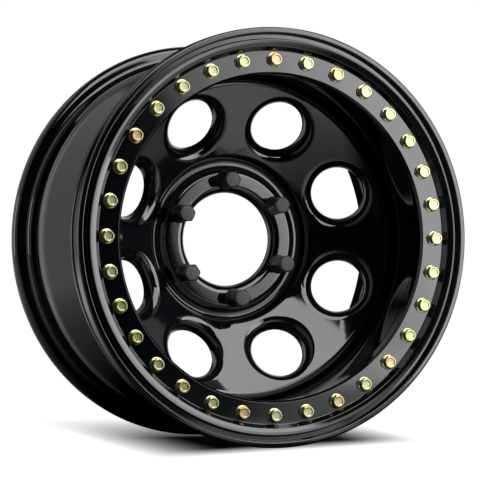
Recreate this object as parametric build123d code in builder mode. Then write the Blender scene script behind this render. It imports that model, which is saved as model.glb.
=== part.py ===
"""Beadlock wheel: a 17 inch steel off-road wheel whose outer tyre bead is gripped by a bolt-on ring.

Millimetres. The wheel's axis is Y, with the outboard face towards -Y and +Z up. The origin is on the
axis, in the plane where the disc meets the hub. Profiles are drawn in the XY plane, X being the radius,
and revolved about Y.
"""

import os
from math import cos, radians, sin, sqrt, tan

from build123d import *

# Rim barrel, rolled from one sheet
bead_seat_d = 436.6
flange_height = 17.3
rim_wall = 3.5
well_depth = 24.8
inboard_flange_y = 76.3
flange_curl_r = 8.0
flange_lip = 2.0
bead_heel_r = 6.5
bead_seat_width = 29.0
bead_taper = 5.0
hump_height = 1.4
hump_width = 9.0
hump_round_r = 12.0
ledge_width = 7.0
well_slope = 27.0
slope_bend_r = 24.0

# Pressed disc
disc_plate = 7.5
disc_fit = 0.1
bore_d = 110.0
bore_round_r = 10.0
bore_lead = 5.5
pad_height = 18.5
pad_lug_edge = 11.65
pad_edge_r = 8.0
pad_flank = 5.0
groove_width = 6.0
groove_round_r = 3.0
hub_wall_slope = 65.0
hub_wall_h = 14.8
hub_wall_r = 4.0
cone_angle = 27.7
shoulder_r = 8.0
skirt_rear_y = -29.0

# Windows in the disc's cone
window_count = 8
window_turn = 22.5
window_inner_edge = 0.3
window_outer_edge = 0.5
window_round_r = 12.4
window_lip_h = 8.2
window_lip_wall = 4.2
window_lip_clear = 0.5
window_lip_root = 2.0

# Lug holes and nuts
lug_count = 6
lug_turn = 35.0
lug_circle_d = 139.7
lug_hole_d = 17.0
lug_seat_d = 22.4
lug_seat_angle = 60.0
nut_clearance = 0.1
nut_af = 19.0
nut_length = 28.0
nut_tip_d = 17.7
nut_collar_h = 1.2
nut_collar_chamfer = 1.6
nut_end_d = 16.4
nut_end_angle = 45.0
nut_thread_d = 12.0
nut_thread_depth = 25.0

# Fixed ring of the beadlock, welded to the barrel's outboard end
bead_ring_lap = 3.0
bead_ring_front_y = -140.0
bead_ring_plate = 14.0
bead_ring_edge = 1.0
bead_shoulder_edge = 1.0
bead_shoulder_wall = 6.0
bead_space = 21.0
bead_flange_height = 14.5
bead_flange_plate = 7.0
bead_corner_r = 2.5

# Clamp ring, its widths counted outwards from its bore
clamp_overhang = 4.5
clamp_plate = 14.0
clamp_bore_chamfer = 2.5
clamp_rear_chamfer = 1.0
bolt_inner_edge = 16.75
bolt_outer_edge = 10.25
ridge_step = 4.25
ridge_shoulder = 4.25
ridge_crown = 4.0
ridge_flank = 0.8
ridge_height = 7.8
ridge_shoulder_fall = 1.8
ridge_crown_fall = 0.5
ridge_round_r = 1.2
trough_width = 5.2
trough_rise = 0.5
trough_round_r = 0.8
lip_flank = 1.5
lip_width = 6.5
lip_height = 8.2
lip_round_r = 2.6
seat_edge = 3.5
seat_slope = 2.5
bead_face_step = 6.0
clamp_rear_round_r = 2.0

# Ring bolts
bolt_count = 32
bolt_d = 8.0
bolt_length = 25.0
bolt_tip_chamfer = 1.0
bolt_clearance = 0.3
bolt_thread_clearance = 0.1
bolt_hole_spare = 1.5
bolt_af = 13.0
bolt_head_h = 7.8
bolt_head_top_d = 12.4
bolt_head_angle = 30.0
bolt_flange_d = 17.6
bolt_flange_edge = 0.8
bolt_flange_rise = 1.0
bolt_dish_d = 9.6
bolt_dish_floor_d = 8.2
bolt_dish_depth = 0.5

# Welds
disc_weld_count = 8
disc_weld_arc = 30.0
disc_weld_leg = 6.0
ring_weld_leg = 6.0
ring_weld_fit = 0.1

# Tyre valve, in the dish's wall
valve_y = -75.0
valve_fit = 0.15
valve_hole_d = 11.5
valve_stem_d = 8.0
valve_stem_length = 37.0
valve_head_d = 16.0
valve_head_h = 3.0
valve_neck_d = 6.0
valve_neck_length = 8.0
valve_bore_d = 3.4
valve_seal_d = 17.0
valve_seal_h = 3.0
valve_seal_neck = 3.0
valve_nut_af = 13.0
valve_nut_h = 6.0
valve_nut_top_d = 12.4
valve_nut_angle = 30.0
valve_core_d = 3.0
valve_core_depth = 2.0
valve_core_length = 18.0
valve_pin_d = 1.2
valve_pin_out = 1.2
valve_cap_d = 9.0
valve_cap_length = 11.0
valve_cap_end = 1.5
valve_cap_seat = 0.6
valve_cap_round_r = 1.0

# Sizes that follow from the ones above
bead_seat_r = bead_seat_d / 2
well_r = bead_seat_r - well_depth
barrel_bore_r = well_r - rim_wall
skirt_r = barrel_bore_r - disc_fit
bore_r = bore_d / 2
lug_circle_r = lug_circle_d / 2
bead_ring_bore_r = well_r - bead_ring_lap
clamp_bore_r = bead_ring_bore_r - clamp_overhang
bolt_circle_r = clamp_bore_r + bolt_inner_edge
bolt_face_r = bolt_circle_r + bolt_outer_edge
clamp_seat_r = bolt_face_r + seat_edge
bead_shoulder_r = clamp_seat_r + bead_shoulder_edge
pad_y = -pad_height
groove_y = -disc_plate
bead_ring_rear_y = bead_ring_front_y + bead_ring_plate
bead_flange_y = bead_ring_front_y + bead_space
bolt_face_y = bead_ring_front_y - clamp_plate
cone = radians(cone_angle)
hub_wall = radians(hub_wall_slope)

# The cone's straight part, from the hub wall's bend to the shoulder's, and the windows that fill it
pad_outer_r = lug_circle_r + pad_lug_edge
groove_inner_r = pad_outer_r + pad_flank
groove_outer_r = groove_inner_r + groove_width
hub_wall_top_r = groove_outer_r + hub_wall_h / tan(hub_wall)
hub_wall_top_y = groove_y - hub_wall_h
hub_bend = hub_wall_r * tan((hub_wall - cone) / 2)
shoulder_bend = shoulder_r * tan((radians(90) + cone) / 2)
cone_length = (skirt_r - hub_wall_top_r) / cos(cone) - hub_bend - shoulder_bend
window_r = (cone_length - window_inner_edge - window_outer_edge) / 2 - window_round_r
window_up_cone = hub_bend + window_inner_edge + window_round_r + window_r
window_circle_r = hub_wall_top_r + window_up_cone * cos(cone)
window_plane_y = hub_wall_top_y - window_up_cone * sin(cone)


def outboard(axial):
    """Plane across the wheel's axis, its normal towards the outboard side."""
    return Plane(origin=(0, axial, 0), x_dir=(1, 0, 0), z_dir=(0, -1, 0))


def cone_y(radius):
    """Axial place of the cone's front surface at a radius."""
    return hub_wall_top_y - (radius - hub_wall_top_r) * tan(cone)


def window_plane(index):
    """Plane on the cone's front surface at one window, its normal into the disc."""
    turn = radians(window_turn + 360 / window_count * index)
    centre = (window_circle_r * cos(turn), window_plane_y, window_circle_r * sin(turn))
    inward = (sin(cone) * cos(turn), cos(cone), sin(cone) * sin(turn))
    return Plane(origin=centre, x_dir=(-sin(turn), 0, cos(turn)), z_dir=inward)


os.makedirs("parts", exist_ok=True)

# Rim barrel: the outer line of the sheet runs from the welded end to the inboard lip
hump_r = bead_seat_r - bead_seat_width * tan(radians(bead_taper))
hump_y = inboard_flange_y - bead_seat_width
ledge_y = hump_y - hump_width
slope_y = ledge_y - ledge_width
slope_end_y = slope_y - (hump_r - well_r) / tan(radians(well_slope))
flange_r = bead_seat_r + flange_height
with BuildPart() as rim_barrel:
    with BuildSketch(Plane.XY):
        with BuildLine():
            sheet = FilletPolyline(
                (well_r, bead_ring_rear_y),
                (well_r, slope_end_y),
                (hump_r, slope_y),
                (hump_r, ledge_y),
                (hump_r + hump_height, hump_y - hump_width / 2),
                (hump_r, hump_y),
                (bead_seat_r, inboard_flange_y),
                (flange_r, inboard_flange_y),
                (flange_r, inboard_flange_y + flange_curl_r + flange_lip),
                radius=(
                    slope_bend_r,
                    slope_bend_r,
                    hump_round_r,
                    hump_round_r,
                    hump_round_r,
                    bead_heel_r,
                    flange_curl_r,
                ),
            )
            offset(sheet, amount=rim_wall, side=Side.LEFT)
        make_face()
    revolve(axis=Axis.Y)
    with BuildSketch(Plane(origin=(-well_r - rim_wall, valve_y, 0), z_dir=(1, 0, 0))):
        Circle(valve_hole_d / 2)
    extrude(amount=3 * rim_wall, mode=Mode.SUBTRACT)
rim_barrel.part.label = "rim_barrel"
export_step(rim_barrel.part, "parts/rim_barrel.step")

# Pressed disc: the front line of the plate runs from the bore's rear edge to the skirt's rear edge
lip_back = (disc_plate + window_lip_h) / cos(cone)
lip_inner_r = window_circle_r - window_r
lip_outer_r = skirt_r - disc_plate - window_lip_clear
window_planes = [window_plane(index) for index in range(window_count)]
with BuildPart() as wheel_disc:
    with BuildSketch(Plane.XY):
        with BuildLine():
            plate = FilletPolyline(
                (bore_r, 0),
                (bore_r, pad_y),
                (pad_outer_r, pad_y),
                (groove_inner_r, groove_y),
                (groove_outer_r, groove_y),
                (hub_wall_top_r, hub_wall_top_y),
                (skirt_r, cone_y(skirt_r)),
                (skirt_r, skirt_rear_y),
                radius=(
                    bore_round_r,
                    pad_edge_r,
                    groove_round_r,
                    groove_round_r,
                    hub_wall_r,
                    shoulder_r,
                ),
            )
            offset(plate, amount=disc_plate, side=Side.LEFT)
        make_face()
    revolve(axis=Axis.Y)
    with BuildSketch(*[plane.offset(disc_plate - window_lip_root) for plane in window_planes]):
        Circle(window_r + window_lip_wall)
    extrude(amount=window_lip_root + 2 * window_lip_h)
    with BuildSketch(Plane.XY):
        with BuildLine():
            Polyline(
                (lip_inner_r, cone_y(lip_inner_r) + lip_back),
                (lip_outer_r, cone_y(lip_outer_r) + lip_back),
                (lip_outer_r, 0),
                (lip_inner_r, 0),
                close=True,
            )
        make_face()
    revolve(axis=Axis.Y, mode=Mode.SUBTRACT)
    with BuildSketch(*[plane.offset(-disc_plate) for plane in window_planes]):
        Circle(window_r)
    extrude(amount=4 * disc_plate, mode=Mode.SUBTRACT)
    cone_front = wheel_disc.faces().filter_by(GeomType.CONE).sort_by(SortBy.AREA)[-1]
    fillet(cone_front.inner_wires().edges(), radius=window_round_r)
    chamfer(wheel_disc.edges().group_by(Axis.Y)[-1].sort_by(SortBy.RADIUS)[0], length=bore_lead)
    with Locations(outboard(pad_y)):
        with PolarLocations(lug_circle_r, lug_count, start_angle=lug_turn):
            CounterSinkHole(
                radius=lug_hole_d / 2,
                counter_sink_radius=lug_seat_d / 2,
                depth=2 * disc_plate,
                counter_sink_angle=lug_seat_angle,
            )
wheel_disc.part.label = "wheel_disc"
export_step(wheel_disc.part, "parts/wheel_disc.step")

# Fixed ring: a thick bolting plate, the shoulder the bead sits on, and the flange behind the bead
bead_flange_r = bead_shoulder_r + bead_flange_height
bolt_hole_depth = bolt_length - clamp_plate + bolt_hole_spare
with BuildPart() as bead_ring:
    with BuildSketch(Plane.XY):
        with BuildLine():
            FilletPolyline(
                (bead_ring_bore_r, bead_ring_rear_y),
                (bead_ring_bore_r, bead_ring_front_y + bead_ring_edge),
                (bead_ring_bore_r + bead_ring_edge, bead_ring_front_y),
                (bead_shoulder_r - bead_ring_edge, bead_ring_front_y),
                (bead_shoulder_r, bead_ring_front_y + bead_ring_edge),
                (bead_shoulder_r, bead_flange_y),
                (bead_flange_r, bead_flange_y),
                (bead_flange_r, bead_flange_y + bead_flange_plate),
                (bead_shoulder_r - bead_shoulder_wall, bead_flange_y + bead_flange_plate),
                (bead_shoulder_r - bead_shoulder_wall, bead_ring_rear_y),
                radius=(0, 0, 0, 0, 0) + 5 * (bead_corner_r,),
                close=True,
            )
        make_face()
    revolve(axis=Axis.Y)
    with Locations(outboard(bead_ring_front_y)):
        with PolarLocations(bolt_circle_r, bolt_count):
            Hole(bolt_d / 2 + bolt_thread_clearance, depth=bolt_hole_depth)
bead_ring.part.label = "bead_ring"
export_step(bead_ring.part, "parts/bead_ring.step")

# Clamp ring: bolt face, raised ridge, trough and outer lip in front, seat and bead face behind
ridge_inner_r = bolt_face_r + ridge_step
ridge_crown_r = ridge_inner_r + ridge_shoulder
ridge_outer_r = ridge_crown_r + ridge_crown
trough_inner_r = ridge_outer_r + ridge_flank
trough_outer_r = trough_inner_r + trough_width
lip_inner_edge_r = trough_outer_r + lip_flank
clamp_outer_r = lip_inner_edge_r + lip_width
ridge_y = bolt_face_y - ridge_height
trough_y = bolt_face_y - trough_rise
lip_y = bolt_face_y - lip_height
bead_face_y = bead_ring_front_y - bead_face_step
with BuildPart() as clamp_ring:
    with BuildSketch(Plane.XY):
        with BuildLine():
            FilletPolyline(
                (clamp_bore_r, bead_ring_front_y - clamp_rear_chamfer),
                (clamp_bore_r, bolt_face_y + clamp_bore_chamfer),
                (clamp_bore_r + clamp_bore_chamfer, bolt_face_y),
                (bolt_face_r, bolt_face_y),
                (ridge_inner_r, ridge_y + ridge_shoulder_fall),
                (ridge_crown_r, ridge_y + ridge_crown_fall),
                (ridge_outer_r, ridge_y),
                (trough_inner_r, trough_y),
                (trough_outer_r, trough_y),
                (lip_inner_edge_r, lip_y),
                (clamp_outer_r, lip_y),
                (clamp_outer_r, bead_face_y),
                (clamp_seat_r + seat_slope, bead_face_y),
                (clamp_seat_r, bead_ring_front_y),
                (clamp_bore_r + clamp_rear_chamfer, bead_ring_front_y),
                radius=(
                    0,
                    0,
                    0,
                    ridge_round_r,
                    ridge_round_r,
                    ridge_round_r,
                    ridge_round_r,
                    trough_round_r,
                    trough_round_r,
                    ridge_round_r,
                    lip_round_r,
                    clamp_rear_round_r,
                    clamp_rear_round_r,
                    0,
                    0,
                ),
                close=True,
            )
        make_face()
    revolve(axis=Axis.Y)
    with Locations(outboard(bolt_face_y)):
        with PolarLocations(bolt_circle_r, bolt_count):
            Hole(bolt_d / 2 + bolt_clearance, depth=clamp_plate)
clamp_ring.part.label = "clamp_ring"
export_step(clamp_ring.part, "parts/clamp_ring.step")

# One flanged bolt, standing on its bearing face with its head along +Z
bolt_r = bolt_d / 2
bolt_flange_r = bolt_flange_d / 2
bolt_hex_r = bolt_af / 2
bolt_head_fall = (bolt_flange_r - bolt_head_top_d / 2) * tan(radians(bolt_head_angle))
with BuildPart() as bolt:
    with BuildSketch(Plane.XZ):
        with BuildLine():
            Polyline(
                (0, -bolt_length),
                (bolt_r - bolt_tip_chamfer, -bolt_length),
                (bolt_r, -bolt_length + bolt_tip_chamfer),
                (bolt_r, 0),
                (bolt_flange_r, 0),
                (bolt_flange_r, bolt_flange_edge),
                (bolt_hex_r, bolt_flange_edge + bolt_flange_rise),
                (0, bolt_flange_edge + bolt_flange_rise),
                close=True,
            )
        make_face()
    revolve(axis=Axis.Z)
    with BuildSketch(Plane.XY):
        RegularPolygon(bolt_hex_r, 6, major_radius=False)
    extrude(amount=bolt_head_h)
    with BuildSketch(Plane.XZ):
        with BuildLine():
            Polyline(
                (bolt_head_top_d / 2, bolt_head_h),
                (bolt_flange_r, bolt_head_h),
                (bolt_flange_r, bolt_head_h - bolt_head_fall),
                close=True,
            )
        make_face()
        with BuildLine():
            Polyline(
                (0, bolt_head_h),
                (bolt_dish_d / 2, bolt_head_h),
                (bolt_dish_floor_d / 2, bolt_head_h - bolt_dish_depth),
                (0, bolt_head_h - bolt_dish_depth),
                close=True,
            )
        make_face()
    revolve(axis=Axis.Z, mode=Mode.SUBTRACT)

# The thirty-two bolts in the clamp ring
with BuildPart() as ring_bolts:
    with Locations(outboard(bolt_face_y)):
        with PolarLocations(bolt_circle_r, bolt_count):
            add(bolt.part)
ring_bolts.part.label = "ring_bolts"
export_step(ring_bolts.part, "parts/ring_bolts.step")

# One closed-end lug nut, its seat at the pad's plane and its end along +Z
seat = radians(lug_seat_angle / 2)
seat_lift = nut_clearance / sin(seat)
lug_seat_r = lug_seat_d / 2
nut_tip_z = seat_lift - (lug_seat_r - nut_tip_d / 2) / tan(seat)
nut_hex_r = nut_af / 2
nut_end_fall = (nut_af - nut_end_d / 2) * tan(radians(nut_end_angle))
with BuildPart() as nut:
    with BuildSketch(Plane.XZ):
        with BuildLine():
            Polyline(
                (0, nut_tip_z),
                (nut_tip_d / 2, nut_tip_z),
                (lug_seat_r, seat_lift),
                (lug_seat_r, seat_lift + nut_collar_h),
                (nut_hex_r, seat_lift + nut_collar_h + nut_collar_chamfer),
                (0, seat_lift + nut_collar_h + nut_collar_chamfer),
                close=True,
            )
        make_face()
    revolve(axis=Axis.Z)
    with BuildSketch(Plane.XY.offset(seat_lift)):
        RegularPolygon(nut_hex_r, 6, major_radius=False)
    extrude(amount=nut_length - seat_lift)
    with BuildSketch(Plane.XZ):
        with BuildLine():
            Polyline(
                (nut_end_d / 2, nut_length),
                (nut_af, nut_length),
                (nut_af, nut_length - nut_end_fall),
                close=True,
            )
        make_face()
    revolve(axis=Axis.Z, mode=Mode.SUBTRACT)
    with BuildSketch(Plane.XY.offset(nut_tip_z)):
        Circle(nut_thread_d / 2)
    extrude(amount=nut_thread_depth, mode=Mode.SUBTRACT)

# The six nuts in the lug holes
with BuildPart() as lug_nuts:
    with Locations(outboard(pad_y)):
        with PolarLocations(lug_circle_r, lug_count, start_angle=lug_turn):
            add(nut.part)
lug_nuts.part.label = "lug_nuts"
export_step(lug_nuts.part, "parts/lug_nuts.step")

# One weld stitch behind the skirt, drawn with the outboard side along +Z
with BuildPart() as stitch:
    with BuildSketch(Plane.XZ):
        with BuildLine():
            Polyline(
                (skirt_r, -skirt_rear_y),
                (skirt_r - disc_weld_leg, -skirt_rear_y),
                (skirt_r, -skirt_rear_y - disc_weld_leg),
                close=True,
            )
        make_face()
    revolve(axis=Axis.Z, revolution_arc=disc_weld_arc)

# The stitches round the skirt
with BuildPart() as disc_welds:
    with Locations(outboard(0)):
        with PolarLocations(0, disc_weld_count):
            add(stitch.part)
disc_welds.part.label = "disc_welds"
export_step(disc_welds.part, "parts/disc_welds.step")

# Weld bead between the barrel's end and the back of the fixed ring
ring_weld_r = well_r + ring_weld_fit
with BuildPart() as ring_weld:
    with BuildSketch(Plane.XY):
        with BuildLine():
            Polyline(
                (ring_weld_r, bead_ring_rear_y),
                (ring_weld_r + ring_weld_leg, bead_ring_rear_y),
                (ring_weld_r, bead_ring_rear_y + ring_weld_leg),
                close=True,
            )
        make_face()
    revolve(axis=Axis.Y)
ring_weld.part.label = "ring_weld"
export_step(ring_weld.part, "parts/ring_weld.step")

# Valve: sections are drawn with X off the valve's axis and Y the distance from the wheel's axis
valve_section = Plane(origin=(0, valve_y, 0), x_dir=(0, 1, 0), z_dir=(0, 0, 1))
valve_axis = Axis((0, valve_y, 0), (-1, 0, 0))
valve_stem_r = valve_stem_d / 2
seal_foot = well_r + valve_fit
seal_top = seal_foot + valve_seal_h
stem_tip = seal_top - valve_stem_length
with BuildPart() as valve_stem:
    with BuildSketch(valve_section):
        with BuildLine():
            Polyline(
                (valve_bore_d / 2, stem_tip),
                (valve_neck_d / 2, stem_tip),
                (valve_neck_d / 2, stem_tip + valve_neck_length),
                (valve_stem_r, stem_tip + valve_neck_length),
                (valve_stem_r, seal_top),
                (valve_head_d / 2, seal_top),
                (valve_head_d / 2, seal_top + valve_head_h),
                (valve_bore_d / 2, seal_top + valve_head_h),
                close=True,
            )
        make_face()
    revolve(axis=valve_axis)
valve_stem.part.label = "valve_stem"
export_step(valve_stem.part, "parts/valve_stem.step")

# Rubber seal under the stem's head, with a neck that fills the valve hole
with BuildPart() as valve_seal:
    with BuildSketch(valve_section):
        with BuildLine():
            Polyline(
                (valve_stem_r + valve_fit, seal_foot - valve_seal_neck),
                (valve_hole_d / 2 - valve_fit, seal_foot - valve_seal_neck),
                (valve_hole_d / 2 - valve_fit, seal_foot),
                (valve_seal_d / 2, seal_foot),
                (valve_seal_d / 2, seal_top),
                (valve_stem_r + valve_fit, seal_top),
                close=True,
            )
        make_face()
    revolve(axis=valve_axis)
valve_seal.part.label = "valve_seal"
export_step(valve_seal.part, "parts/valve_seal.step")

# Hex nut that pulls the stem up; its corners stop just short of the curved wall
valve_nut_corner_r = valve_nut_af / sqrt(3)
valve_nut_face = sqrt(barrel_bore_r**2 - valve_nut_corner_r**2) - valve_fit
valve_nut_fall = (valve_nut_corner_r - valve_nut_top_d / 2) * tan(radians(valve_nut_angle))
with BuildPart() as valve_nut:
    with BuildSketch(Plane(origin=(-valve_nut_face, valve_y, 0), z_dir=(1, 0, 0))):
        RegularPolygon(valve_nut_af / 2, 6, major_radius=False)
        Circle(valve_stem_r + valve_fit, mode=Mode.SUBTRACT)
    extrude(amount=valve_nut_h)
    with BuildSketch(valve_section):
        with BuildLine():
            Polyline(
                (valve_nut_top_d / 2, valve_nut_face - valve_nut_h),
                (valve_nut_corner_r, valve_nut_face - valve_nut_h),
                (valve_nut_corner_r, valve_nut_face - valve_nut_h + valve_nut_fall),
                close=True,
            )
        make_face()
    revolve(axis=valve_axis, mode=Mode.SUBTRACT)
valve_nut.part.label = "valve_nut"
export_step(valve_nut.part, "parts/valve_nut.step")

# Valve core: the barrel inside the stem and the pin that stands out of it
with BuildPart() as valve_core:
    with BuildSketch(valve_section):
        with BuildLine():
            Polyline(
                (0, stem_tip - valve_pin_out),
                (valve_pin_d / 2, stem_tip - valve_pin_out),
                (valve_pin_d / 2, stem_tip + valve_core_depth),
                (valve_core_d / 2, stem_tip + valve_core_depth),
                (valve_core_d / 2, stem_tip + valve_core_depth + valve_core_length),
                (0, stem_tip + valve_core_depth + valve_core_length),
                close=True,
            )
        make_face()
    revolve(axis=valve_axis)
valve_core.part.label = "valve_core"
export_step(valve_core.part, "parts/valve_core.step")

# Cap over the stem's neck
cap_mouth = stem_tip + valve_neck_length - valve_cap_seat
cap_end = cap_mouth - valve_cap_length
with BuildPart() as valve_cap:
    with BuildSketch(valve_section):
        with BuildLine():
            FilletPolyline(
                (0, cap_end),
                (valve_cap_d / 2, cap_end),
                (valve_cap_d / 2, cap_mouth),
                (valve_neck_d / 2 + valve_fit, cap_mouth),
                (valve_neck_d / 2 + valve_fit, cap_end + valve_cap_end),
                (0, cap_end + valve_cap_end),
                radius=(0, valve_cap_round_r, 0, 0, 0, 0),
                close=True,
            )
        make_face()
    revolve(axis=valve_axis)
valve_cap.part.label = "valve_cap"
export_step(valve_cap.part, "parts/valve_cap.step")
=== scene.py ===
# %% [markdown]
# # Beadlock wheel
# This lesson dresses the CAD model of a steel off-road wheel whose outer tyre bead is gripped by a bolted
# ring. The CAD model is loaded first and is never moved. Everything is in metres in the CAD's own frame:
# the wheel's axis is Y, the side that faces outwards on a vehicle is -Y, and +Z is up.

# %% Load the frame
import random
from math import atan2, ceil, cos, degrees, hypot, pi, radians, sin, sqrt, tan

import bmesh
import bpy
from mathutils import Matrix, Vector


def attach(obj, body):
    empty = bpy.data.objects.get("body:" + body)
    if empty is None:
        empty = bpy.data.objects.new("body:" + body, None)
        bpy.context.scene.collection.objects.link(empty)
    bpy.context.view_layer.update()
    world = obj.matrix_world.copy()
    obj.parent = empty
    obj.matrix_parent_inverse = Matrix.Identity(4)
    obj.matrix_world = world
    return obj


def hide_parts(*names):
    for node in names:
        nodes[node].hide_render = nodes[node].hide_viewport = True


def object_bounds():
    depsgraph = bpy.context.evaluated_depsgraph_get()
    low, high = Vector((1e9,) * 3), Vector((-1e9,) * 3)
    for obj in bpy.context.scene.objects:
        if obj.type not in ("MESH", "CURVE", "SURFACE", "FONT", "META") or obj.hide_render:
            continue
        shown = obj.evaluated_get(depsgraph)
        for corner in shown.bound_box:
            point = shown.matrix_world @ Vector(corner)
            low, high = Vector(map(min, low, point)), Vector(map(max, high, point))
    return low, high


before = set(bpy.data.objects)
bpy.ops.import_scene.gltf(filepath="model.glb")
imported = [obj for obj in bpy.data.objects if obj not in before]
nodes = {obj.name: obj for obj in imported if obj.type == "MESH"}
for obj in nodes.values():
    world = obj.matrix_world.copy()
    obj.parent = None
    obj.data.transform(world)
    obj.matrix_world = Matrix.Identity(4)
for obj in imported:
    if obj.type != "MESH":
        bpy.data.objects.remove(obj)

cad_box = [list(corner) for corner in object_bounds()]
print("CAD nodes:", ", ".join(sorted(nodes)))

# %% [markdown]
# ## Camera
# The wheel is seen with a long lens, a little from the left of its axis and from just below it. A long lens
# far away keeps the circles close to true ellipses. The camera is aimed a little left of the hub, so that
# the rim's barrel fits in the picture, and no lens shift is needed.

# %% Camera
view_turn = radians(-23.244)
view_lift = radians(-0.94)
view_distance = 3.2797
ring_face = Vector((0, -0.157, 0))
aim_left = 0.0401
aim_down = 0.0030
lens_mm = 216.24
sensor_mm = 36.0
view_right = Vector((cos(view_turn), sin(view_turn), 0))
view_from = Vector((sin(view_turn) * cos(view_lift), -cos(view_turn) * cos(view_lift), sin(view_lift)))
view_up = view_right.cross(-view_from).normalized()
camera_data = bpy.data.cameras.new("camera")
camera_data.lens = lens_mm
camera_data.sensor_width = sensor_mm
camera = bpy.data.objects.new("camera", camera_data)
bpy.context.scene.collection.objects.link(camera)
camera.location = ring_face + view_from * view_distance
aim = ring_face - view_right * aim_left - view_up * aim_down
camera.rotation_euler = (aim - camera.location).to_track_quat("-Z", "Y").to_euler()
bpy.context.scene.camera = camera
bpy.context.scene.view_settings.view_transform = "Standard"
print("camera at", tuple(round(v, 3) for v in camera.location))

# %% [markdown]
# ## Tools for turned pieces
# Most of a wheel is turned, rolled or pressed round one axis, so most pieces here start as a section line
# that is spun. A section could be drawn with a curve, but a chain of extruded vertices stays in one place,
# and each corner's round is an exact arc, so that the glossy paint reflects cleanly. `rounded` turns
# corners and radii into points and also keeps the line's direction at each point, because a pressed sheet
# is that line and a second one a wall's thickness beside it.

# %% Section lines
mm = 0.001
arc_step = 7


def rounded(corners, rounds, closed):
    """Points along a line of corners in millimetres, with an arc at each, and the line's direction there."""
    places = [Vector(corner) for corner in corners]
    last = len(places) - 1
    points = []
    for index, place in enumerate(places):
        before = places[index - 1] if closed or index > 0 else None
        after = places[(index + 1) % len(places)] if closed or index < last else None
        arrive = (place - before).normalized() if before else (after - place).normalized()
        leave = (after - place).normalized() if after else arrive
        turn = arrive.angle_signed(leave)
        if rounds[index] == 0 or abs(turn) < 1e-6:
            points.append((place, (arrive + leave).normalized()))
            continue
        reach = rounds[index] * tan(abs(turn) / 2)
        side = Vector((arrive.y, -arrive.x)) if turn > 0 else Vector((-arrive.y, arrive.x))
        start = place - arrive * reach
        centre = start + side * rounds[index]
        steps = max(2, ceil(degrees(abs(turn)) / arc_step))
        for step in range(steps + 1):
            spin = Matrix.Rotation(-turn * step / steps, 2)
            points.append((centre + spin @ (start - centre), spin @ arrive))
    return points


def beside(points, wall):
    """The line that runs a wall's thickness to the left of another."""
    return [place + Vector((-way.y, way.x)) * wall for place, way in points]


test_line = rounded([(0, 0), (10, 0), (10, 10)], [0, 4, 0], closed=False)
test_middle = test_line[len(test_line) // 2][0]
print("a 4 mm round makes", len(test_line) - 2, "points, the middle one at", test_middle)

# %% [markdown]
# The spin itself is Blender's own: the chain is drawn by extruding one vertex after another, spun a full
# turn, its doubles are merged and its normals are turned outwards. Smooth shading up to an angle keeps real
# edges crisp, and weighted normals keep the flat faces flat beside small rounds.

# %% Draw, spin and smooth
spin_steps = 256
merge_within = 2e-7


def pick(piece, wanted):
    """Select the vertices of the piece in edit mode whose place passes a test."""
    bpy.ops.mesh.select_all(action="DESELECT")
    mesh = bmesh.from_edit_mesh(piece.data)
    for vertex in mesh.verts:
        if wanted(vertex.co):
            vertex.select_set(True)
    mesh.select_flush(True)
    bmesh.update_edit_mesh(piece.data)


def draw_chain(name, places, closed):
    """Start a piece as a chain of vertices in the XY plane, and leave it in edit mode."""
    bpy.ops.object.select_all(action="DESELECT")
    bpy.ops.mesh.primitive_plane_add(size=0.01)
    piece = bpy.context.object
    piece.name = piece.data.name = name
    spots = [Vector((place[0], place[1], 0)) * mm for place in places]
    bpy.ops.object.mode_set(mode="EDIT")
    bpy.ops.mesh.select_mode(type="VERT")
    bpy.ops.mesh.select_all(action="SELECT")
    bpy.ops.mesh.merge(type="CENTER")
    bpy.ops.transform.translate(value=spots[0])
    for here, there in zip(spots, spots[1:]):
        bpy.ops.mesh.extrude_region_move(TRANSFORM_OT_translate={"value": there - here})
    if closed:
        pick(piece, lambda co: min((co - spots[0]).length, (co - spots[-1]).length) < 1e-8)
        bpy.ops.mesh.edge_face_add()
    return piece


def clean_up(piece):
    """Merge doubles, turn the faces outwards and leave edit mode."""
    bpy.ops.mesh.select_all(action="SELECT")
    bpy.ops.mesh.remove_doubles(threshold=merge_within)
    bpy.ops.mesh.normals_make_consistent(inside=False)
    bpy.ops.object.mode_set(mode="OBJECT")


def turned(name, places, closed=True, steps=spin_steps, axis=(0, -1, 0)):
    """A piece made by spinning a section line a full turn about an axis through the origin."""
    piece = draw_chain(name, places, closed)
    bpy.ops.mesh.select_all(action="SELECT")
    bpy.ops.mesh.spin(steps=steps, angle=2 * pi, center=(0, 0, 0), axis=axis)
    clean_up(piece)
    return piece


def only(piece):
    """Make one piece the only selected and the active one."""
    bpy.ops.object.select_all(action="DESELECT")
    piece.select_set(True)
    bpy.context.view_layer.objects.active = piece


def smooth(piece, angle=32):
    """Smooth shading that breaks at real edges, with flat faces weighing most."""
    only(piece)
    bpy.ops.object.shade_smooth_by_angle(angle=radians(angle))
    bpy.ops.object.modifier_add(type="WEIGHTED_NORMAL")
    piece.modifiers[-1].keep_sharp = True
    bpy.ops.object.modifier_apply(modifier=piece.modifiers[-1].name)


def cut(piece, tool, operation="DIFFERENCE"):
    """Apply a Boolean with a tool that is then thrown away."""
    only(piece)
    bpy.ops.object.modifier_add(type="BOOLEAN")
    piece.modifiers[-1].operation = operation
    piece.modifiers[-1].object = tool
    piece.modifiers[-1].solver = "EXACT"
    bpy.ops.object.modifier_apply(modifier=piece.modifiers[-1].name)
    bpy.data.objects.remove(tool)


def join(pieces, name):
    """Join pieces into one mesh."""
    bpy.ops.object.select_all(action="DESELECT")
    for piece in pieces:
        piece.select_set(True)
    bpy.context.view_layer.objects.active = pieces[0]
    bpy.ops.object.join()
    pieces[0].name = pieces[0].data.name = name
    return pieces[0]


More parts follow.
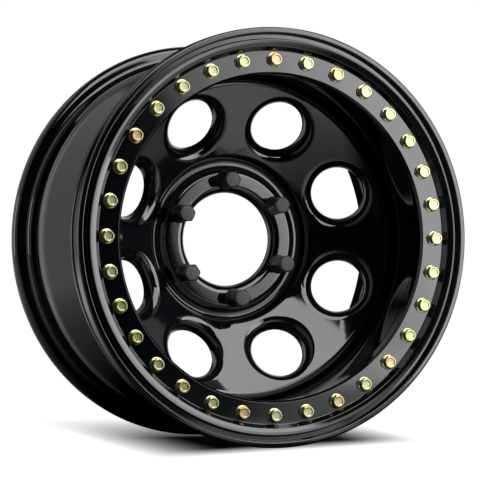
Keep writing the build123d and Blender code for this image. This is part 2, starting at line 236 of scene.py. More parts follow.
def round_wheel(piece, spots, name):
    """Copies of a piece, each moved by a matrix, joined into one."""
    copies = []
    for spot in spots:
        copy = piece.copy()
        copy.data = piece.data.copy()
        copy.data.transform(spot)
        bpy.context.scene.collection.objects.link(copy)
        copies.append(copy)
    bpy.data.objects.remove(piece)
    return join(copies, name)


def around(degrees_turned):
    """Turn about the wheel's axis, from +X towards +Z."""
    return Matrix.Rotation(-radians(degrees_turned), 4, "Y")


def hold(piece, node):
    """Let a finished piece stand for a CAD node."""
    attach(piece, "root")
    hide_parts(node)
    print(piece.name, "stands for", node, "with", len(piece.data.polygons), "faces")


# %% [markdown]
# ## Clamp ring
# The outer ring is machined from thick plate: a flat bolt face, a raised ridge, a trough and a rounded
# outer lip that guards the bolts. It could be a subdivided tube, but its crisp steps are what the eye
# reads, so its section is drawn corner by corner and spun. The thirty-two bolt holes are then cut in one
# Boolean.

# %% Clamp ring
bolt_count = 32
bolt_circle = 202.75
bolt_face_y = -154.0
clamp_hole_r = 4.3
clamp_corners = [
    (186, -141), (186, -151.5), (188.5, -154), (213, -154), (217.25, -160), (221.5, -161.3), (225.5, -161.8),
    (226.3, -154.5), (231.5, -154.5), (233, -162.2), (239.5, -162.2), (239.5, -146), (219, -146),
    (216.5, -140), (187, -140),
]
clamp_rounds = [0.3, 0.5, 0.5, 1.2, 1.2, 1.2, 1.2, 0.8, 0.8, 1.2, 2.6, 2, 2, 0.4, 0.3]
clamp_ring = turned("clamp_ring_turned", [place for place, way in rounded(clamp_corners, clamp_rounds, True)])


def hole_tools(name, radius, front_y, back_y):
    """A full set of round cutters on the bolt circle."""
    bpy.ops.object.select_all(action="DESELECT")
    bpy.ops.mesh.primitive_cylinder_add(vertices=40, radius=radius * mm, depth=(back_y - front_y) * mm,
                                        rotation=(pi / 2, 0, 0))
    tool = bpy.context.object
    bpy.ops.object.transform_apply(location=True, rotation=True, scale=True)
    middle = Matrix.Translation((bolt_circle * mm, (front_y + back_y) / 2 * mm, 0))
    return round_wheel(tool, [around(360 / bolt_count * k) @ middle for k in range(bolt_count)], name)


cut(clamp_ring, hole_tools("clamp_hole_tools", clamp_hole_r, front_y=-160, back_y=-130))
smooth(clamp_ring)
hold(clamp_ring, "clamp_ring")

# %% [markdown]
# ## Fixed ring
# The inner ring is welded to the barrel and has the tapped holes for the bolts, a shoulder for the tyre's
# bead and a flange behind it. It is turned in the same way, and its blind holes are cut in one Boolean too.

# %% Fixed ring
tapped_hole_r = 4.1
tapped_hole_end_y = -127.5
bead_corners = [
    (190.5, -126), (190.5, -139), (191.5, -140), (216.5, -140), (217.5, -139), (217.5, -119), (232, -119),
    (232, -112), (211.5, -112), (211.5, -126),
]
bead_rounds = [0.4, 0.2, 0.2, 0.2, 0.2, 2.5, 2.5, 2.5, 2.5, 2.5]
bead_ring = turned("bead_ring_turned", [place for place, way in rounded(bead_corners, bead_rounds, True)])
cut(bead_ring, hole_tools("bead_hole_tools", tapped_hole_r, front_y=-145, back_y=tapped_hole_end_y))
smooth(bead_ring)
hold(bead_ring, "bead_ring")

# %% [markdown]
# ## Rim barrel
# The barrel is one strip of steel, rolled into a hoop and then formed: a well, a slope, a hump that keeps
# the tyre on its seat, the seat itself and a curled flange. Solidify could give the wall, but it thickens
# along averaged normals, so the second line is drawn beside the first at the true wall instead. The lip's
# edges get small rounds.

# %% Rim barrel
rim_wall = 3.5
lip_round = 0.8
lip_corner = 0.25
barrel_corners = [
    (193.5, -126), (193.5, -12.390), (215.763, 31.3), (215.763, 38.3), (217.163, 42.8), (215.763, 47.3),
    (218.3, 76.3), (235.6, 76.3), (235.6, 86.3),
]
barrel_rounds = [0, 24, 24, 12, 12, 12, 6.5, 8, 0]
barrel_line = rounded(barrel_corners, barrel_rounds, False)
barrel_outer = [place for place, way in barrel_line]
barrel_inner = beside(barrel_line, rim_wall)
lip_out = barrel_outer[-1]
lip_in = barrel_inner[-1]
lip_edge = [lip_out - Vector((0, lip_round)), lip_out + Vector((-lip_corner, -lip_corner)),
            lip_out + Vector((-lip_round, 0)), lip_in + Vector((lip_round, 0)),
            lip_in + Vector((lip_corner, -lip_corner)), lip_in - Vector((0, lip_round))]
barrel_section = barrel_outer[:-1] + lip_edge + barrel_inner[:-1][::-1]
rim_barrel = turned("rim_barrel_rolled", barrel_section)

# %% [markdown]
# The valve's hole is drilled through the side of the dish that faces left, below the front ring.

# %% Valve hole
valve_place = (-0.1918, -0.075, 0)
valve_hole_r = 5.75
drill_length = 0.02
bpy.ops.object.select_all(action="DESELECT")
bpy.ops.mesh.primitive_cylinder_add(vertices=48, radius=valve_hole_r * mm, depth=drill_length,
                                    rotation=(0, pi / 2, 0), location=valve_place)
valve_drill = bpy.context.object
bpy.ops.object.transform_apply(location=True, rotation=True, scale=True)
cut(rim_barrel, valve_drill)
smooth(rim_barrel)
hold(rim_barrel, "rim_barrel")

# %% [markdown]
# ## Pressed disc
# The disc is pressed from one plate: a bore with a rolled edge, a flat ring for the lug nuts, a groove, a
# steep wall and a cone, and a skirt that fits inside the barrel. The parts that are the same all the way
# round are spun as two strips, one inside the windows and one outside them.

# %% Hub and skirt strips
disc_plate = 7.5
bore_r = 55
pad_y = -18.5
groove_y = -7.5
cone_inner_r = 99.401
skirt_r = 189.9
skirt_rear_y = -29
cone_angle = radians(27.7)
window_circle = 139.3
window_y = -43.247


def cone_y(radius):
    """Axial place of the cone's front surface at a radius, in millimetres."""
    return window_y - (radius - window_circle) * tan(cone_angle)


disc_corners = [
    (bore_r, 0), (bore_r, pad_y), (81.5, pad_y), (86.5, groove_y), (92.5, groove_y),
    (cone_inner_r, cone_y(cone_inner_r)), (skirt_r, cone_y(skirt_r)), (skirt_r, skirt_rear_y),
]
disc_rounds = [0, 10, 8, 3, 3, 4, 8, 0]
disc_line = rounded(disc_corners, disc_rounds, False)
disc_front = [place for place, way in disc_line]
disc_rear = beside(disc_line, disc_plate)
cone_start = max(range(len(disc_front) - 1), key=lambda k: (disc_front[k + 1] - disc_front[k]).length
                 if disc_front[k].x > 90 and disc_front[k + 1].y < -50 and disc_front[k].y > -40 else 0)
bore_chamfer = 5.5
bore_lead = [Vector((bore_r, -bore_chamfer)), Vector((bore_r + bore_chamfer, 0))]
hub_section = disc_front[1:cone_start + 1][::-1] + bore_lead + disc_rear[:cone_start + 1]
skirt_section = disc_front[cone_start + 1:] + disc_rear[cone_start + 1:][::-1]
hub_strip = turned("hub_strip", hub_section, closed=False)
skirt_strip = turned("skirt_strip", skirt_section, closed=False)
print("cone from", tuple(round(v, 2) for v in disc_front[cone_start]), "to",
      tuple(round(v, 2) for v in disc_front[cone_start + 1]))

# %% [markdown]
# Each window is a round hole through the cone, at right angles to it, with a large rolled edge in front and
# a short lip behind. A Boolean and a bevel would leave uneven facets where the two curved surfaces meet,
# which show at once in gloss paint. So one eighth of the cone is built as rings of vertices round its
# window. A ball that rolls along inside the edge gives the rounding: its centre stays one radius below the
# cone and one radius outside the hole, and it touches both. The cone leans towards the hole at the hole's
# sides, so one ball would make the roll narrower there. The ball therefore grows until the roll is as wide
# there as elsewhere. The rings are bridged into faces, and the eighth is copied round.

# %% Places on the cone round a window
window_count = 8
window_spacing = 360 / window_count
side_steps = 24
window_r = 31.01
window_round = 12.4
window_lip = 15.7
window_lip_r = 35.2
cone_tries = 8
window_in = Vector((sin(cone_angle), cos(cone_angle), 0))
window_out = Vector((cos(cone_angle), -sin(cone_angle), 0))
window_side = Vector((0, 0, 1))
window_centre = Vector((window_circle, window_y, 0))


def on_cone(across, side, below):
    """The place that is below the cone's front surface by a distance, on a line along the window's axis."""
    base = window_centre + window_out * across + window_side * side
    depth = below
    for _ in range(cone_tries):
        place = base + window_in * depth
        radius = hypot(place.x, place.z)
        miss = place.y - cone_y(radius) - below / cos(cone_angle)
        depth -= miss / (cos(cone_angle) + place.x / radius * sin(cone_angle) * tan(cone_angle))
    return base + window_in * depth


def cone_edge(line, below):
    """Border of an eighth of the cone, counter-clockwise from the middle of its outer arc."""
    inner = line[cone_start].x
    outer = line[cone_start + 1].x
    arc = spin_steps // window_count
    half = pi / window_count
    border = [(outer, -half + 2 * half * k / arc) for k in range(arc // 2, arc)]
    border += [(outer + (inner - outer) * k / side_steps, half) for k in range(side_steps)]
    border += [(inner, half - 2 * half * k / arc) for k in range(arc)]
    border += [(inner + (outer - inner) * k / side_steps, -half) for k in range(side_steps)]
    border += [(outer, -half + 2 * half * k / arc) for k in range(arc // 2)]
    lift = below / cos(cone_angle)
    return [Vector((r * cos(a), cone_y(r) + lift, r * sin(a))) for r, a in border]


front_edge = cone_edge(disc_front, 0)
rear_edge = cone_edge(disc_rear, disc_plate)
from_centre = [place - window_centre for place in front_edge]
bearing = [atan2(away.dot(window_side), away.dot(window_out)) for away in from_centre]
print("one eighth of the cone has", len(front_edge), "places round its border")

# %% Rings round one window
round_steps = 16
round_extra = 0.6
ball_tries = 12


def ball_inside_edge(angle, ball_r):
    """Centre of a ball that touches the cone and the hole, and the direction to where it touches the cone."""
    off_axis = window_r + ball_r
    ball = on_cone(off_axis * cos(angle), off_axis * sin(angle), ball_r)
    flat = hypot(ball.x, ball.z)
    lean = -sin(cone_angle) / flat
    return ball, Vector((lean * ball.x, -cos(cone_angle), lean * ball.z))


rings = [front_edge] + [[] for _ in range(round_steps + 1)] + [[], [], [], rear_edge]
for angle in bearing:
    width = window_round + round_extra * (1 + cos(angle))
    ball_r = width
    for _ in range(ball_tries):
        ball, to_front = ball_inside_edge(angle, ball_r)
        touch = ball + to_front * ball_r - window_centre
        ball_r *= width / ((touch - window_in * touch.dot(window_in)).length - window_r)
    ball, to_front = ball_inside_edge(angle, ball_r)
    to_hole = -(window_out * cos(angle) + window_side * sin(angle))
    sweep = to_front.angle(to_hole)
    for step in range(round_steps + 1):
        share = step / round_steps
        reach = (to_front * sin((1 - share) * sweep) + to_hole * sin(share * sweep)) / sin(sweep)
        rings[1 + step].append(ball + reach * ball_r)
    rings[-4].append(on_cone(window_r * cos(angle), window_r * sin(angle), window_lip))
    rings[-3].append(on_cone(window_lip_r * cos(angle), window_lip_r * sin(angle), window_lip))
    rings[-2].append(on_cone(window_lip_r * cos(angle), window_lip_r * sin(angle), disc_plate))

ring_size = len(bearing)
patch_mesh = bpy.data.meshes.new("window_patch")
patch_faces = []
for ring in range(len(rings) - 1):
    for k in range(ring_size):
        after = (k + 1) % ring_size
        patch_faces.append((ring * ring_size + k, ring * ring_size + after,
                            (ring + 1) * ring_size + after, (ring + 1) * ring_size + k))
patch_mesh.from_pydata([place * mm for ring in rings for place in ring], [], patch_faces)
window_patch = bpy.data.objects.new("window_patch", patch_mesh)
bpy.context.scene.collection.objects.link(window_patch)
window_spots = [around(window_spacing * (k + 0.5)) for k in range(window_count)]
windows = round_wheel(window_patch, window_spots, "windows")
print("window ring has", ring_size, "places and", len(rings), "rings")

# %% [markdown]
# The strips and the eight windows share the same places along their borders, so joining them and merging
# doubles closes the disc. Then the six coned lug holes are cut with a turned drill.

# %% Join the disc and drill the lug holes
wheel_disc = join([hub_strip, skirt_strip, windows], "wheel_disc_pressed")
only(wheel_disc)
bpy.ops.object.mode_set(mode="EDIT")
bpy.ops.mesh.select_all(action="SELECT")
bpy.ops.mesh.remove_doubles(threshold=2e-6)
clean_up(wheel_disc)
disc_check = bmesh.new()
disc_check.from_mesh(wheel_disc.data)
print("open edges of the disc:", sum(1 for edge in disc_check.edges if not edge.is_manifold))
disc_check.free()

lug_count = 6
lug_turn = 35.0
lug_circle = 69.85
lug_seat = Matrix.Translation((lug_circle * mm, pad_y * mm, 0))
lug_spots = [around(lug_turn + 360 / lug_count * k) @ lug_seat for k in range(lug_count)]
drill_section = [(0, 26), (8.5, 26), (8.5, 4.677), (11.2, 0), (11.2, -8), (0, -8)]
lug_drill = turned("lug_drill", drill_section, steps=64)
cut(wheel_disc, round_wheel(lug_drill, lug_spots, "lug_drills"))
smooth(wheel_disc, 28)
hold(wheel_disc, "wheel_disc")

# %% [markdown]
# ## Ring bolts
# Each bolt is a hex head on a pressed flange, zinc plated and dipped in a yellow chromate. The head's
# corners are cut away by a cone and its top has a shallow dish. A six-sided cylinder is therefore cut to a
# turned shape, which leaves the curved lines that a real head has on its flats, and is then joined to a
# turned flange and shank. A narrow bevel catches the light on the edges.

# %% Hexes and soft edges
def hex_bar(across_flats, length, middle):
    """A six-sided bar along Y: its width across flats, its length and its middle, in millimetres."""
    bpy.ops.object.select_all(action="DESELECT")
    across_corners = across_flats / cos(pi / 6)
    bpy.ops.mesh.primitive_cylinder_add(vertices=6, radius=across_corners / 2 * mm, depth=length * mm,
                                        location=(0, middle * mm, 0), rotation=(pi / 2, 0, 0))
    bpy.ops.object.transform_apply(location=True, rotation=True, scale=True)
    return bpy.context.object


def soften_edges(piece, width):
    """A narrow bevel, in millimetres, on the edges that turn by more than a slight angle."""
    only(piece)
    bpy.ops.object.modifier_add(type="BEVEL")
    piece.modifiers[-1].width = width * mm
    piece.modifiers[-1].segments = 2
    piece.modifiers[-1].limit_method = "ANGLE"
    piece.modifiers[-1].angle_limit = radians(38)
    bpy.ops.object.modifier_apply(modifier=piece.modifiers[-1].name)


# %% One bolt
head_height = 7.8
flange_r = 8.8
head_fall = (flange_r - 6.2) * tan(radians(30))
head_shape = turned("bolt_head_shape", [
    (0, 1.2), (flange_r, 1.2), (flange_r, head_height - head_fall), (6.3, head_height - 0.06),
    (6.1, head_height), (4.9, head_height), (4.7, head_height - 0.1), (4.2, head_height - 0.45),
    (4.0, head_height - 0.5), (0, head_height - 0.5),
], steps=48, axis=(0, 1, 0))
bolt = hex_bar(across_flats=13, length=8, middle=5.2)
cut(bolt, head_shape, "INTERSECT")
bolt_body = turned("bolt_body", [
    (0, -25), (3, -25), (4, -24), (4, 0), (8.6, 0), (flange_r, 0.2), (flange_r, 0.55), (8.6, 0.85),
    (8.2, 0.98), (6.9, 1.55), (6.2, 1.9), (0, 1.9),
], steps=48, axis=(0, 1, 0))
cut(bolt, bolt_body, "UNION")
soften_edges(bolt, 0.22)
smooth(bolt, 30)
print("one bolt has", len(bolt.data.polygons), "faces")

# %% [markdown]
# The bolts were run up with a wrench, so their hexes stop at different angles, and each came out of the
# plating bath with its own tint. A seeded turn and a number kept on each bolt's vertices give both.

# %% All the bolts
bolt_luck = random.Random(7)
bolt_copies = []
head_out = Matrix.Rotation(pi, 4, "Z")
for k in range(bolt_count):
    copy = bolt.copy()
    copy.data = bolt.data.copy()
    bpy.context.scene.collection.objects.link(copy)
    seat = Matrix.Translation((bolt_circle * mm, bolt_face_y * mm, 0))
    own_turn = Matrix.Rotation(radians(bolt_luck.uniform(0, 60)), 4, "Y")
    copy.data.transform(around(360 / bolt_count * k) @ seat @ head_out @ own_turn)
    tint = copy.data.attributes.new("tint", "FLOAT", "POINT")
    tint.data.foreach_set("value", [bolt_luck.random()] * len(copy.data.vertices))
    bolt_copies.append(copy)
bpy.data.objects.remove(bolt)
ring_bolts = join(bolt_copies, "ring_bolts_plated")
hold(ring_bolts, "ring_bolts")

# %% [markdown]
# ## Lug nuts
# The nuts are long closed-end ones with a conical seat. They are made like the bolts: a six-sided cylinder
# cut to a turned shape, which rounds the closed end, joined to a turned seat.

# %% Lug nuts
nut_length = 28.0
end_shape = turned("nut_end_shape", [
    (0, 1.6), (14, 1.6), (14, nut_length - 5.8), (8.5, nut_length - 0.3), (7.9, nut_length),
    (0, nut_length + 0.05),
], steps=64, axis=(0, 1, 0))
nut = hex_bar(across_flats=19, length=30, middle=16.2)
cut(nut, end_shape, "INTERSECT")
nut_seat = turned("nut_seat", [
    (0, 2.2), (9.7, 2.8), (11.0, 1.6), (11.2, 1.3), (11.2, 0.3), (8.9, -3.7), (8.7, -3.87), (6, -3.87),
    (6, 1), (0, 1),
], steps=64, axis=(0, 1, 0))
cut(nut, nut_seat, "UNION")
nut_bore = turned("nut_bore", [(0, -6), (6, -6), (6, 20.5), (0, 21.13)], steps=48, axis=(0, 1, 0))
cut(nut, nut_bore)
soften_edges(nut, 0.35)
smooth(nut, 30)
lug_nuts = round_wheel(nut, [spot @ head_out for spot in lug_spots], "lug_nuts_closed")
hold(lug_nuts, "lug_nuts")

# %% [markdown]
# ## Weld beads
# A weld bead is a row of frozen ripples, each pool overlapping the last. Its section is spun in many small
# steps, and the free face is then moved in and out by a saw-like wave along the bead. The stitches inside
# the barrel also taper to nothing at their ends, as a welder lifts away.

# %% Weld beads
ripple_steps = 5
face_steps = 6


def bead(name, root, legs, sweep, ripple, taper):
    """A rippled fillet weld: its root corner and two legs in mm, its arc, ripples and taper in degrees."""
    root = Vector(root)
    toe = [root + Vector(leg) for leg in legs]
    out = (toe[0] + toe[1]) / 2 - root
    face = [toe[0] + (toe[1] - toe[0]) * k / face_steps + out * 0.16 * sin(pi * k / face_steps)
            for k in range(face_steps + 1)]
    steps = int(sweep / ripple * ripple_steps)
    piece = draw_chain(name, [root] + face, True)
    bpy.ops.mesh.select_all(action="SELECT")
    bpy.ops.mesh.spin(steps=steps, angle=radians(sweep), center=(0, 0, 0), axis=(0, 1, 0))
    bpy.ops.object.mode_set(mode="OBJECT")
    for vertex in piece.data.vertices:
        turn = degrees(atan2(vertex.co.z, vertex.co.x)) % 360
        at = Vector((hypot(vertex.co.x, vertex.co.z), vertex.co.y)) / mm - root
        if at.length < 1e-3:
            continue
        up_leg = at.dot(Vector(legs[0])) / Vector(legs[0]).length_squared
        along = (turn / ripple + 0.35 * cos(pi * (up_leg - 0.5))) % 1
        swell = 1 - 0.075 * along ** 1.5 + 0.012 * sin(turn * 2.7)
        if taper:
            travelled = turn if turn < 300 else 0
            reach = min(travelled, sweep - travelled) / taper
            swell *= sqrt(max(0, 1 - (1 - min(1, reach)) ** 2))
        at = root + at * swell
        vertex.co = Vector((at.x * cos(radians(turn)), at.y, at.x * sin(radians(turn)))) * mm
    only(piece)
    bpy.ops.object.mode_set(mode="EDIT")
    clean_up(piece)
    return piece


stitch_count = 8
stitch = bead("stitch", (189.85, -28.95), [(-6, 0), (0, 6)], sweep=30, ripple=1.3, taper=1.8)
stitch_spots = [around(360 / stitch_count * k) for k in range(stitch_count)]
disc_welds = round_wheel(stitch, stitch_spots, "disc_weld_stitches")
smooth(disc_welds, 60)
hold(disc_welds, "disc_welds")
ring_weld = bead("ring_weld_bead", (193.6, -126), [(6, 0), (0, 6)], sweep=360, ripple=1.25, taper=0)
smooth(ring_weld, 60)
hold(ring_weld, "ring_weld")

# %% [markdown]
# ## Finishes
# Shader maths reads best as plain expressions, so a small class wraps a node's socket and turns +, -, * and
# powers into Math nodes. One method adds any other node: its type, its settings, and the values or links of
# its sockets.

# %% Sockets as numbers
class Level:
    """A number that changes over a surface: one socket of a finish."""

    def __init__(self, finish, socket):
        self.finish = finish
        self.socket = socket

    def maths(self, operation, first, second):
        return self.finish.node("ShaderNodeMath", {"operation": operation}, {0: first, 1: second})

    def __add__(self, other):
        return self.maths("ADD", self, other)

    def __radd__(self, other):
        return self.maths("ADD", other, self)

    def __sub__(self, other):
        return self.maths("SUBTRACT", self, other)

    def __rsub__(self, other):
        return self.maths("SUBTRACT", other, self)

    def __mul__(self, other):
        return self.maths("MULTIPLY", self, other)

    def __rmul__(self, other):
        return self.maths("MULTIPLY", other, self)

    def __pow__(self, other):
        return self.maths("POWER", self, other)


class Finish:
    """A material under construction."""

    def __init__(self, name):
        self.material = bpy.data.materials.new(name)
        self.material.use_nodes = True
        self.tree = self.material.node_tree
        self.shader = self.tree.nodes["Principled BSDF"]
        self.place = self.node("ShaderNodeTexCoord", {}, {}, "Object")

    def node(self, kind, settings, sockets, output=0):
        made = self.tree.nodes.new(kind)
        for key, value in settings.items():
            if key == "stops":
                while len(made.color_ramp.elements) < len(value):
                    made.color_ramp.elements.new(0.5)
                for element, (position, colour) in zip(made.color_ramp.elements, value):
                    element.position = position
                    element.color = (*colour, 1)
            else:
                setattr(made, key, value)
        for key, value in sockets.items():
            if isinstance(value, Level):
                self.tree.links.new(value.socket, made.inputs[key])
            else:
                made.inputs[key].default_value = value
        return Level(self, made.outputs[output])

    def noise(self, scale, detail=3.0, roughness=0.5):
        return self.node("ShaderNodeTexNoise", {}, {"Vector": self.place, "Scale": scale,
                                                    "Detail": detail, "Roughness": roughness})

    def band(self, level, low, high):
        return self.node("ShaderNodeMapRange", {"clamp": True},
                         {"Value": level, "From Min": low, "From Max": high, "To Min": 0.0, "To Max": 1.0})

    def mix(self, factor, one, two):
        return self.node("ShaderNodeMix", {"data_type": "RGBA"}, {0: factor, 6: one, 7: two}, 2)

    def bump(self, height, strength, distance):
        return self.node("ShaderNodeBump", {}, {"Height": height, "Strength": strength, "Distance": distance})

    def set(self, **values):
        for key, value in values.items():
            socket = self.shader.inputs[key.replace("_", " ")]
            if isinstance(value, Level):
                self.tree.links.new(value.socket, socket)
            else:
                socket.default_value = value

    def put_on(self, *pieces):
        for piece in pieces:
            piece.data.materials.clear()
            piece.data.materials.append(self.material)
        print(self.material.name, "on", ", ".join(piece.name for piece in pieces))


# %% [markdown]
# ## Gloss black paint
# The wheel and its ring have a deep black powder coat that reflects like a mirror. What tells it from
# plastic is its faint orange peel, a slow waviness a few millimetres across, and a haze of fine dust that
# blunts the reflection a little in places. Both come from noise: one feeds a shallow bump, the others the
# roughness and the colour.

# %% Gloss black paint
def gloss_black(name, peel):
    finish = Finish(name)
    haze = finish.noise(9, 4, 0.6)
    dust = finish.band(finish.noise(900, 2), 0.66, 0.8) * finish.band(haze, 0.42, 0.75)
    waviness = finish.noise(160, 2, 0.4) * 0.7 + finish.noise(420, 2, 0.5) * 0.3
    black = finish.mix(haze, (0.0012, 0.0016, 0.0024, 1), (0.0026, 0.0031, 0.0042, 1))
    finish.set(
        Base_Color=finish.mix(dust * 0.5, black, (0.05, 0.05, 0.052, 1)),
        Roughness=0.035 + 0.05 * haze + 0.2 * dust,
        Normal=finish.bump(waviness, peel, 0.0002),
        IOR=1.6,
    )
    return finish


gloss_black("wheel_gloss_black", peel=0.10).put_on(rim_barrel, wheel_disc, bead_ring)
gloss_black("ring_gloss_black", peel=0.06).put_on(clamp_ring)
gloss_black("weld_gloss_black", peel=0.25).put_on(disc_welds, ring_weld)

# %% [markdown]
# ## Yellow zinc
# Chromate over zinc is a thin film whose colour drifts from pale straw to gold, with green and pink where
# it is thicker. Each bolt's own number picks its place on a ramp, slow noise drifts about it, and fine
# noise roughens the plating.

# %% Yellow zinc
zinc = Finish("yellow_zinc")
own = zinc.node("ShaderNodeAttribute", {"attribute_name": "tint"}, {}, "Fac")
drift = zinc.noise(140, 3, 0.6)
film = zinc.node("ShaderNodeValToRGB", {"stops": [
    (0.05, (0.32, 0.33, 0.18)), (0.3, (0.37, 0.35, 0.19)), (0.5, (0.30, 0.35, 0.17)),
    (0.7, (0.38, 0.30, 0.15)), (0.95, (0.37, 0.26, 0.15)),
]}, {"Fac": own * 0.75 + drift * 0.5 - 0.12})
stain = zinc.band(zinc.noise(420, 4, 0.65), 0.58, 0.78)
zinc.set(
    Base_Color=zinc.mix(stain * 0.35, film, (0.18, 0.17, 0.08, 1)),
    Metallic=1.0,
    Roughness=0.2 + 0.12 * drift + 0.12 * stain,
    Normal=zinc.bump(zinc.noise(1500, 3), 0.12, 0.00005),
)
zinc.put_on(ring_bolts)

# %% [markdown]
# ## Black nuts
# The nuts have a satin black plating over forged steel, a little rubbed to grey on the high spots.

# %% Black nuts
nut_black = Finish("nut_satin_black")
rub = nut_black.band(nut_black.noise(260, 4, 0.6), 0.5, 0.8)
nut_black.set(
    Base_Color=nut_black.mix(rub, (0.02, 0.02, 0.021, 1), (0.05, 0.05, 0.052, 1)),
    Roughness=0.42 + 0.14 * nut_black.noise(90, 3),
    Normal=nut_black.bump(nut_black.noise(1100, 3), 0.15, 0.00006),
)
nut_black.put_on(lug_nuts)

# %% [markdown]
# ## Valve
# The valve's pieces are plain turned parts whose CAD shapes are right, so only their finishes are made
# here: nickel-plated brass with faint turning marks along the stem, black rubber and moulded plastic.

# %% Valve finishes
nickel = Finish("nickel_plate")
turning = nickel.node("ShaderNodeTexWave", {"bands_direction": "X"},
                      {"Vector": nickel.place, "Scale": 700.0, "Distortion": 0.6, "Detail": 2.0})
smear = nickel.noise(300, 4)
nickel.set(
    Base_Color=nickel.mix(smear, (0.50, 0.45, 0.36, 1), (0.66, 0.61, 0.52, 1)),
    Metallic=1.0,
    Roughness=0.22 + 0.15 * smear,
    Normal=nickel.bump(turning, 0.1, 0.00005),
)
nickel.put_on(nodes["valve_stem"], nodes["valve_nut"], nodes["valve_core"])

rubber = Finish("valve_rubber_black")
bloom = rubber.noise(220, 5, 0.6)
rubber.set(
    Base_Color=rubber.mix(bloom, (0.012, 0.012, 0.012, 1), (0.032, 0.031, 0.030, 1)),
    Roughness=0.7 + 0.2 * bloom,
    Normal=rubber.bump(rubber.noise(1800, 3), 0.3, 0.0001),
)
rubber.put_on(nodes["valve_seal"])

plastic = Finish("cap_plastic_black")
sheen = plastic.noise(500, 3)
plastic.set(
    Base_Color=plastic.mix(sheen, (0.012, 0.012, 0.013, 1), (0.026, 0.026, 0.027, 1)),
    Roughness=0.4 + 0.2 * sheen,
    Normal=plastic.bump(plastic.noise(2500, 2), 0.25, 0.00006),
)
plastic.put_on(nodes["valve_cap"])

# %% [markdown]
# ## Studio
# Gloss black shows little of itself and mostly what it reflects, so the studio is the finish's other half.
# The wheel stands on pale paper in a round room. Lamps alone would light the room unevenly, so the paper
# glows for the camera and for reflections only, which lights nothing. The camera sees white all round, but
# for a painted shadow at the wheel's foot. Reflections see painted reflections of a room that is bright at
# both sides of its back and dark in front, as if cards stood there: a black one right behind the wheel, a
# small white one on the floor before it and a large one further off to the right. Round the wheel's foot
# the floor doesn't glow for the camera, which paints the wheel's shadow there; inside it the lamps' own
# shadow of the wheel shows too. That painted shadow has four soft edges, which lean as the photograph's
# shadow does.

# %% Edge of the painted shadow
floor_z = cad_box[0][2]


def outside_painted_shadow(finish, x, y):
    """How far a place on the floor is out of the painted shadow round the wheel's foot, which has four soft
    edges.
    """
    left = finish.band(x - 0.17 * y, low=-0.03, high=-0.145) ** 2.1
    right = finish.band(x - 0.25 * y, low=0.15, high=0.245) ** 1.6
    front = finish.band(y - 0.5 * x, low=-0.10, high=-0.205) ** 1.5
    back = finish.band(y, low=0.1, high=0.6)
    return 1 - (1 - left) * (1 - right) * (1 - front) * (1 - back)


# %% [markdown]
# The painted reflections on the floor are bands of place. The room's are bands of direction from the wheel,
# so they look the same in a room of another size. The paper under the near painted reflection is dark, so
# that the lamps add nothing to the glow it has.

# %% Pale paper
# Levels and paper of the painted reflections on the floor.
painted_near_reflection_level = 0.75
painted_dark_reflection_top_level = 0.3
painted_near_reflection_paper = (0.03, 0.03, 0.03, 1)
no_glow = (0, 0, 0, 1)
full_glow = (1, 1, 1, 1)


def pale_paper(name, paleness, is_floor):
    """Matt paper that glows for the camera, but not in the painted shadow on the floor, and shows painted
    reflections by where it is in the room.
    """
    finish = Finish(name)
    x, y, z = [finish.node("ShaderNodeSeparateXYZ", {}, {0: finish.place}, axis) for axis in "XYZ"]
    camera_ray = finish.node("ShaderNodeLightPath", {}, {}, "Is Camera Ray")
    rays = camera_ray.socket.node.outputs
    mirror_ray = Level(finish, rays["Is Glossy Ray"]) + Level(finish, rays["Is Transmission Ray"])
    away = (x * x + y * y) ** 0.5
    # Painted reflections: glow that only mirror rays see, bright at both sides of the back and dimmer behind
    # the wheel.
    back_half = finish.band(y * away ** -1, low=-0.8, high=0.6) ** 0.6
    painted_dark_reflection = 1 - finish.band(x * x * away ** -2, low=0.09, high=0.25)
    painted_dark_reflection_top = finish.band(z * away ** -1, low=0.34, high=0.48)
    dim = painted_dark_reflection * (1 - painted_dark_reflection_top_level * painted_dark_reflection_top)
    painted_reflection_glow = back_half * (1 - dim) * finish.band(away, low=0.15, high=0.7)
    paper = 3 * (paleness,) + (1,)
    camera_glow_outside_painted_shadow = 1.0
    if is_floor:
        # Painted shadow: the floor's glow for the camera fades out round the wheel's foot, inside a drawn
        # outline.
        camera_glow_outside_painted_shadow = outside_painted_shadow(finish, x, y)
        # A small painted reflection on the floor before the wheel, on dark paper, and a large painted
        # reflection further off to the right.
        painted_near_reflection = finish.band(x, low=-0.15, high=0) * finish.band(x, low=0.36, high=0.3)
        painted_near_reflection = painted_near_reflection * finish.band(y, low=-0.85, high=-0.65) * finish.band(y, low=-0.24, high=-0.31)
        painted_far_reflection = finish.band(x + 0.45 * y, low=-0.16, high=-0.02) * finish.band(y, low=-0.7, high=-0.9)
        painted_reflection_glow = painted_reflection_glow + painted_near_reflection_level * painted_near_reflection * finish.band(x, low=-0.05, high=0.2)
        painted_reflection_glow = painted_reflection_glow + painted_far_reflection
        paper = finish.mix(painted_near_reflection, painted_near_reflection_paper, paper)
    glow = camera_ray * camera_glow_outside_painted_shadow + mirror_ray * painted_reflection_glow
    finish.set(Base_Color=paper, Roughness=1.0, Specular_IOR_Level=0.0, Emission_Strength=1.0,
               Emission_Color=finish.mix(glow, no_glow, full_glow))
    return finish


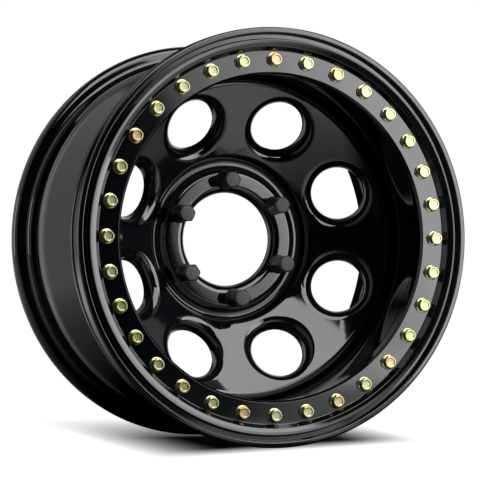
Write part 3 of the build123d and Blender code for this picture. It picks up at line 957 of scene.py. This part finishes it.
# %% Floor and round wall
room_r = 5.2
room_h = 10.6
bpy.ops.object.select_all(action="DESELECT")
bpy.ops.mesh.primitive_circle_add(vertices=96, radius=room_r, fill_type="NGON", location=(0, 0, floor_z))
floor = bpy.context.object
floor.name = "floor"
bpy.ops.object.transform_apply(location=True, rotation=True, scale=True)
bpy.ops.object.select_all(action="DESELECT")
bpy.ops.mesh.primitive_cylinder_add(vertices=96, radius=room_r, depth=room_h, end_fill_type="NOTHING",
                                    location=(0, 0, floor_z + room_h / 2))
wall = bpy.context.object
wall.name = "round_wall"
bpy.ops.object.transform_apply(location=True, rotation=True, scale=True)
bpy.ops.object.shade_smooth()
pale_paper("floor_paper_painted_shadow_and_reflections", paleness=0.5, is_floor=True).put_on(floor)
pale_paper("wall_paper_painted_reflections", paleness=0.05, is_floor=False).put_on(wall)

# %% [markdown]
# A large softbox stands to the right of the front. Its cloth is dimmer towards its left edge, which shows
# as the slow fade from grey to black round the ring's flat face, so it is made of a few lamps that share
# their right edge and end at different places on the left. A second softbox hangs above the front, and a
# narrow one at the left draws the light band on the barrel. The air of the room is almost black.

# %% Lamps and room
world = bpy.data.worlds.new("room")
bpy.context.scene.world = world
world.use_nodes = True
world.node_tree.nodes["Background"].inputs["Color"].default_value = (0.8, 0.9, 1.1, 1)
world.node_tree.nodes["Background"].inputs["Strength"].default_value = 0.02


def softbox(name, turn, lift, distance, aside, above, size, roll, radiance):
    """An area lamp that faces the wheel: its direction, its shift, its size and how bright it looks."""
    data = bpy.data.lights.new(name, "AREA")
    data.shape = "RECTANGLE"
    data.size, data.size_y = size
    data.energy = radiance * pi * size[0] * size[1]
    lamp = bpy.data.objects.new(name, data)
    bpy.context.scene.collection.objects.link(lamp)
    way = Vector((sin(radians(turn)) * cos(radians(lift)), -cos(radians(turn)) * cos(radians(lift)),
                  sin(radians(lift))))
    face = (-way).to_track_quat("-Z", "Y").to_matrix().to_4x4()
    lamp.location = ring_face + way * distance + face.to_3x3() @ Vector((aside, above, 0))
    lamp.rotation_euler = (face @ Matrix.Rotation(radians(roll), 4, "Z")).to_euler()
    print(name, "at", tuple(round(v, 2) for v in lamp.location), "with", round(data.energy, 1), "W")


layers = 6
right_roll = 25.0
right_edge = 0.8
right_height = 2.0
right_radiance = 5.5
fade_start = -0.69
fade_width = 0.31
fade_curve = 1.3
for layer in range(layers):
    left_edge = fade_start + fade_width * (layer / (layers - 1)) ** fade_curve
    shift = Matrix.Rotation(radians(right_roll), 2) @ Vector(((left_edge + right_edge) / 2, 0.2))
    softbox(f"softbox_right_{layer}", turn=42, lift=0, distance=2.0 + 0.01 * layer,
            aside=shift.x, above=shift.y, size=(right_edge - left_edge, right_height),
            roll=right_roll, radiance=right_radiance / layers)
softbox("softbox_top", turn=12, lift=50, distance=2.4, aside=0, above=0,
        size=(2.0, 1.9), roll=0, radiance=4.9)
softbox("softbox_left", turn=-100, lift=0, distance=2.5, aside=0, above=0,
        size=(0.65, 1.6), roll=0, radiance=3.0)
